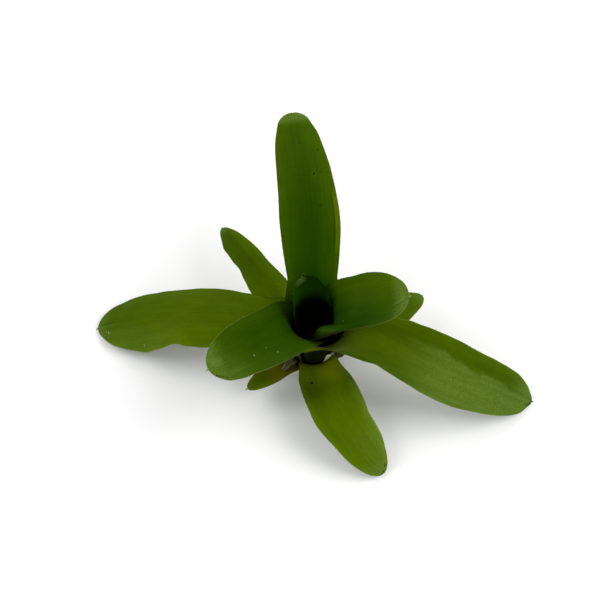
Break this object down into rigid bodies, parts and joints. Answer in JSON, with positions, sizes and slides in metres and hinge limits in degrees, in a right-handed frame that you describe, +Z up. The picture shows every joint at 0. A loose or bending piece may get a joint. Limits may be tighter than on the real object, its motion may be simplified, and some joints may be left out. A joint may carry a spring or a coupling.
{
  "type": "neoregelia bromeliad",
  "caption": "Bare-rooted neoregelia bromeliad offset: glossy green strap leaves in a loose rosette whose sheaths nest into a small central cup, on a short cut stem.",
  "frame": {"origin": "centre of the flat cut under the stem, on the surface the plant rests on", "axes": "+Z up along the axis of the rosette, +X towards the right-hand leaves and -Y towards the front leaf"},
  "size_m": [0.2298, 0.1623, 0.0887],
  "materials": {
    "outer_leaf": "glossy living leaf, yellowish green",
    "inner_leaf": "glossy living leaf, deep green",
    "stem": "rough corky stump with a pale cut",
    "dry_scale": "dry papery brown"
  },
  "bodies": {
    "root": {"stem": "stem", "leaf_left_long": "outer_leaf", "leaf_right_long": "outer_leaf", "leaf_front": "outer_leaf", "leaf_back_left_narrow": "outer_leaf", "leaf_right_narrow": "outer_leaf", "leaf_front_left_small": "outer_leaf", "leaf_back_long": "inner_leaf", "leaf_front_left_broad": "inner_leaf", "leaf_right_broad": "inner_leaf", "leaf_inner_spoon": "inner_leaf", "leaf_heart": "inner_leaf", "scale_front_left": "dry_scale", "scale_right": "dry_scale", "scale_back": "dry_scale"}
  },
  "joints": []
}
